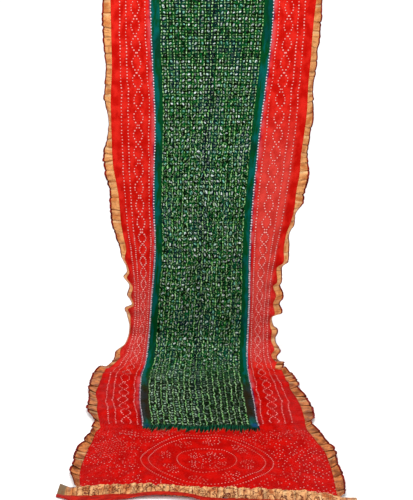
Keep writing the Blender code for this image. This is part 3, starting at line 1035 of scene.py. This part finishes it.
def red_ground(dyer, across, along, side):
    """Colour of the red cloth: its dye, with the green, violet and white that bled along the green field,
    a painted pink sheen where it is drawn in and turns, and painted shade where it lies on the floor.
    """
    warm = dyer.noise(across * 30.0, along * 22.0, 4.0)
    bleed = dyer.noise(across * 10.0, along * 19.0, 2.0)
    red = dyer.paint(dye(206, 14, 4), dye(238, 40, 28), warm.rise(0.34, 0.70))
    # Painted shade: the red is darker where the cloth lies on the floor
    lying_shade = along.rise(1.60, 1.72)
    red = dyer.paint(red, dyer.paint(dye(186, 3, 0), dye(216, 10, 2), warm.rise(0.34, 0.70)), lying_shade)
    in_borders = side.rise(0.245, 0.262) * side.fall(0.366, 0.380)
    drawn_in = along.rise(1.08, 1.28) * along.fall(1.48, 1.60)
    # Painted sheen: a paler pink where the cloth is drawn in and turns, strongest on the borders
    red = dyer.paint(red, dye(214, 52, 48), drawn_in * (in_borders * 0.45 + 0.25))
    speckle = dyer.noise(across * 110.0, along * 170.0, 1.0).rise(0.52, 0.64)
    red = dyer.paint(red, dye(255, 150, 144), speckle * drawn_in * (in_borders * 0.3 + 0.1))
    hazy = side.fall(HALF_GREEN + 0.004, HALF_GREEN + 0.021) * along.fall(1.9, 2.2)
    red = dyer.paint(red, dye(226, 92, 98), hazy * bleed.rise(0.36, 0.66) * 0.8)
    violet = side.fall(HALF_GREEN + 0.003, HALF_GREEN + 0.0095) * along.fall(2.13, 2.17)
    red = dyer.paint(red, dye(74, 34, 84), violet * bleed.fall(0.34, 0.62) * 0.9)
    dark_end = side.fall(HALF_GREEN + 0.004, HALF_GREEN + 0.024)
    dark_end = dark_end * along.rise(1.85, 2.1) * along.fall(2.15, 2.19)
    red = dyer.paint(red, dye(70, 10, 12), dark_end * 0.6)
    flushed = across.rise(0.245, 0.262) * across.fall(0.356, 0.376)
    flushed = flushed * along.rise(0.42, 0.75) * along.fall(1.1, 1.35)
    return dyer.paint(red, dye(244, 104, 92), flushed * (warm * 0.4 + 0.12))


def lay_dots(dyer, colour, away, core, rim, shade):
    """Tied dots over a ground: a bright core in a tinted rim, with a darker ring around."""
    colour = dyer.paint(colour, shade, away.rise(0.9, 1.3) * away.fall(1.4, 2.2) * 0.55)
    colour = dyer.paint(colour, rim, away.fall(0.75, 1.35))
    return dyer.paint(colour, core, away.fall(0.25, 0.85))


def cloth_material():
    """The dyed cloth: red borders and end panel, green field, tied dots and crinkled silk, with painted
    sheen and painted shade in its colour.
    """
    dyer = Dyer("dyed_cloth")
    across, along = dyer.flat_places()
    side = abs(across)

    # The grounds and the ragged lower end of the green field
    broad = dyer.noise(across * 22.0, along * 5.0, 1.0)
    flames = dyer.noise(across * 170.0 + along * 40.0, along * 11.0, 3.0)
    bowed = (1.0 - (across / HALF_GREEN).squared()) * 0.026
    frayed = along - bowed + (flames - 0.5) * 0.115 + (broad - 0.5) * 0.040
    above_end = frayed.fall(GREEN_END - 0.004, GREEN_END + 0.014)
    in_field = side.fall(HALF_GREEN - 0.0012, HALF_GREEN + 0.0012) * above_end
    red = red_ground(dyer, across, along, side)
    green = green_ground(dyer, across, along, side)
    colour = dyer.paint(red, green, in_field)
    last_strip = (along - bowed * 0.5).rise(2.150, 2.172) * in_field
    frayed_green = dyer.paint(dye(0, 26, 14), dye(0, 84, 56), flames.rise(0.42, 0.60))
    colour = dyer.paint(colour, frayed_green, last_strip)
    corner = length_of(side - 0.222, (along - 2.170) * 0.75).fall(0.003, 0.022)
    blue = dyer.paint(dye(10, 66, 96), dye(26, 72, 138), across.rise(-0.1, 0.1))
    colour = dyer.paint(colour, blue, corner * 0.7)

    # Tied dots of the green field
    dots, shade, in_cell, chance = green_field(dyer, across, along)
    above_strip = in_field * (1.0 - last_strip) * (1.0 - corner)
    colour = dyer.paint(colour, dye(0, 10, 0), shade * above_strip * 0.75)
    lower = along.rise(1.2, 1.9)
    pale = dyer.paint(dye(140, 224, 116), dye(214, 255, 198), chance[1])
    white = dyer.paint(dye(134, 214, 190), dye(236, 255, 248), chance[0].rise(0.1, 0.6))
    white = dyer.paint(white, dye(180, 240, 180), lower * 0.5)
    dots = dots * above_strip * (1.0 - lower * 0.2)
    colour = dyer.paint(colour, dyer.paint(pale, white, in_cell), dots)

    # Tied dots of the borders and of the end panel
    lines = border_dots(dyer, side, along)
    on_floor = along.rise(1.60, 1.75)
    core = dyer.paint(dye(255, 214, 208), dye(255, 200, 196), on_floor)
    rim = dyer.paint(dye(250, 118, 108), dye(255, 108, 102), on_floor)
    colour = lay_dots(dyer, colour, lines, core, rim, dye(170, 6, 2))
    panel = medallion(dyer, across, along).least(end_panel(dyer, across, along)) + in_field * 9.0
    bright = dyer.noise(across * 8.0 + 2.0, along * 8.0 + 4.0, 1.0).rise(0.42, 0.60)
    core = dyer.paint(dye(255, 140, 128), dye(255, 202, 196), bright)
    colour = lay_dots(dyer, colour, panel, core, dye(228, 62, 52), dye(160, 8, 2))
    edge = dotted_run(dyer, side, along, HALF_GREEN, 0.0, EDGE_PITCH, TIE_RADIUS)
    edge = edge + along.rise(GREEN_END - 0.022, GREEN_END - 0.018) * 9.0
    colour = lay_dots(dyer, colour, edge, dye(255, 255, 255), dye(206, 190, 204), dye(40, 16, 34))
    dyer.set("Base Color", colour)

    # Silk: crinkle between the ties, a small pucker at each dot and the weave
    crinkle = dyer.noise(across * 150.0, along * 260.0, 3.0)
    weave = (across * 5200.0).sine() * (along * 5200.0).sine()
    ties = dots.most(lines.least(panel).least(edge).fall(0.2, 1.3))
    dyer.relief(crinkle * 0.0012 + ties * 0.0011 + weave * 0.00004, 0.9)
    dyer.set("Roughness", 0.46 + crinkle * 0.16)
    dyer.set("Specular IOR Level", 0.02)
    return dyer.material


def gold_material():
    """Gold tissue: metal-shot weave with painted shade in its tucks, in pressed creases and where it lies
    on the floor, painted highlights on some folds, and fine pressed wrinkles.
    """
    dyer = Dyer("gold_tissue")
    across, along = dyer.flat_places()
    tuck, gleam, rim, crumple = (dyer.attribute(key) for key in ("tuck", "gleam", "rim", "crumple"))
    patches = dyer.noise(across * 34.0, along * 30.0, 3.0)
    streaks = dyer.noise(across * 26.0, along * 130.0, 3.0)
    pressed = dyer.noise(across * 50.0, along * 46.0, 2.0)
    colour = dyer.paint(dye(216, 128, 62), dye(255, 180, 110), patches.rise(0.34, 0.60))
    # Painted shade: the side edgings are darker where they lie on the floor
    lying = crumple.rise(0.12, 0.33) * crumple.fall(0.4, 0.8)
    lying_shaded_gold = dyer.paint(dye(152, 80, 32), dye(240, 146, 80), patches.rise(0.36, 0.62))
    colour = dyer.paint(colour, lying_shaded_gold, lying)
    frilled = crumple.rise(0.5, 0.9)
    frilled_gold = dyer.paint(dye(204, 114, 58), dye(255, 188, 124), patches.rise(0.32, 0.54))
    colour = dyer.paint(colour, frilled_gold, frilled)
    colour = dyer.paint(colour, dye(150, 118, 72), crumple.fall(0.02, 0.09))
    colour = dyer.paint(colour, dye(156, 84, 36), streaks.rise(0.54, 0.72) * 0.6)
    # Painted highlight on some pleat folds
    colour = dyer.paint(colour, dye(255, 214, 156), gleam * 0.8)
    # Painted shade: thin dark pressed creases, which are also pressed into the relief below
    shaded_creases = abs(pressed - 0.5).fall(0.006, 0.044) * (crumple * 0.9 + 0.08)
    colour = dyer.paint(colour, dye(112, 30, 6), shaded_creases)
    # Painted shade in the pleats' tucks
    colour = dyer.paint(colour, dye(84, 38, 8), tuck.rise(0.05, 0.8) * 0.9)
    colour = dyer.paint(colour, dye(150, 70, 34), rim.rise(0.90, 1.0) * 0.45)
    dyer.set("Base Color", colour)
    wrinkles = dyer.noise(across * 70.0, along * 55.0, 2.0)
    rib = (along * 4200.0).sine() * (across * 4200.0).sine()
    relief = wrinkles * (crumple * 0.0032 + 0.0018) + streaks * 0.0005 + rib * 0.00005 - shaded_creases * 0.0012
    dyer.relief(relief, 0.9)
    dyer.set("Metallic", 0.25)
    dyer.set("Roughness", 0.40 + patches * 0.2)
    dyer.set("Specular IOR Level", 0.2)
    return dyer.material


def binding_material(name, dark, light):
    """Plain red silk binding with a fine weave."""
    dyer = Dyer(name)
    across, along = dyer.flat_places()
    patches = dyer.noise(across * 90.0, along * 40.0, 3.0)
    dyer.set("Base Color", dyer.paint(dark, light, patches.rise(0.3, 0.7)))
    weave = (along * 4600.0).sine() * (across * 4600.0).sine()
    dyer.relief(patches * 0.0009 + weave * 0.00005, 0.8)
    dyer.set("Roughness", 0.45 + patches * 0.15)
    dyer.set("Specular IOR Level", 0.06)
    return dyer.material


def make_camera():
    """Camera at the photograph's height, distance and pitch."""
    data = bpy.data.cameras.new("camera")
    data.lens = CAMERA_LENS
    data.sensor_width = SENSOR_WIDTH
    camera = bpy.data.objects.new("camera", data)
    x, y, height = CAMERA_PLACE
    camera.location = (x, y, height - TOP_HEIGHT)
    camera.rotation_euler = (math.radians(90 - CAMERA_PITCH), 0, 0)
    bpy.context.scene.collection.objects.link(camera)
    bpy.context.scene.camera = camera


def make_light(name, place_at, aim, size, power):
    """Soft rectangular lamp aimed at a point."""
    data = bpy.data.lights.new(name, "AREA")
    data.shape = "RECTANGLE"
    data.size, data.size_y = size
    data.energy = power
    lamp = bpy.data.objects.new(name, data)
    lamp.location = place_at
    direction = aim - lamp.location
    lamp.rotation_euler = direction.to_track_quat("-Z", "Y").to_euler()
    bpy.context.scene.collection.objects.link(lamp)


def make_studio():
    """Pale floor, white surroundings and soft lamps."""
    half = 12.0
    around = ((-half, -half), (half, -half), (half, half), (-half, half))
    corners = [(x, y, -TOP_HEIGHT) for x, y in around]
    mesh = bpy.data.meshes.new("floor")
    mesh.from_pydata(corners, [], [(0, 1, 2, 3)])
    floor = bpy.data.objects.new("floor", mesh)
    bpy.context.scene.collection.objects.link(floor)
    paper = bpy.data.materials.new("paper")
    paper.use_nodes = True
    shader = paper.node_tree.nodes["Principled BSDF"]
    shader.inputs["Base Color"].default_value = (0.93, 0.93, 0.93, 1)
    shader.inputs["Roughness"].default_value = 0.9
    mesh.materials.append(paper)
    world = bpy.data.worlds.new("studio")
    world.use_nodes = True
    world.node_tree.nodes["Background"].inputs["Color"].default_value = (1, 1, 1, 1)
    world.node_tree.nodes["Background"].inputs["Strength"].default_value = 1.1
    bpy.context.scene.world = world
    middle = CAD_BOX[0].lerp(CAD_BOX[1], 0.5)
    make_light("overhead", (0.0, -0.9, 1.6), middle, (2.2, 1.6), 55)
    make_light("front", (-1.6, -3.6, 0.9), middle, (1.8, 1.8), 40)
    bpy.context.scene.view_settings.view_transform = "Standard"


def dress():
    """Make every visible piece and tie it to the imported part."""
    cloth = make_cloth(cloth_material())
    gold = gold_material()
    dark_red = binding_material("dark_binding", dye(92, 12, 6), dye(150, 24, 12))
    bright_red = binding_material("bright_binding", dye(160, 18, 5), dye(206, 32, 12))
    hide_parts("cloth")
    strips = []
    for side in SIDES:
        pleats = Pleats(SIDE_SEEDS[side], CLOTH_LENGTH, SIDE_ZONES)
        edging = make_edging(side, pleats, gold)
        binding = make_binding(side, pleats, dark_red)
        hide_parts(f"edging_{side}")
        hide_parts(f"binding_{side}")
        strips.append((edging, binding, EDGING_WIDTH, pleats.path[-1, 0]))
    across_end = FRILL[-1].x - FRILL[0].x
    pleats = Pleats(FRILL_SEED, across_end, END_ZONES)
    frill = make_frill(pleats, gold)
    band = make_band(bright_red)
    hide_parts("edging_end")
    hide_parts("binding_end")
    strips.append((frill, band, FRILL_FLAT_WIDTH, pleats.path[-1, 0]))
    for edging, binding, width, length in strips:
        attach(edging, "root")
        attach(binding, "root")
    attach(cloth, "root")


make_camera()
make_studio()
dress()
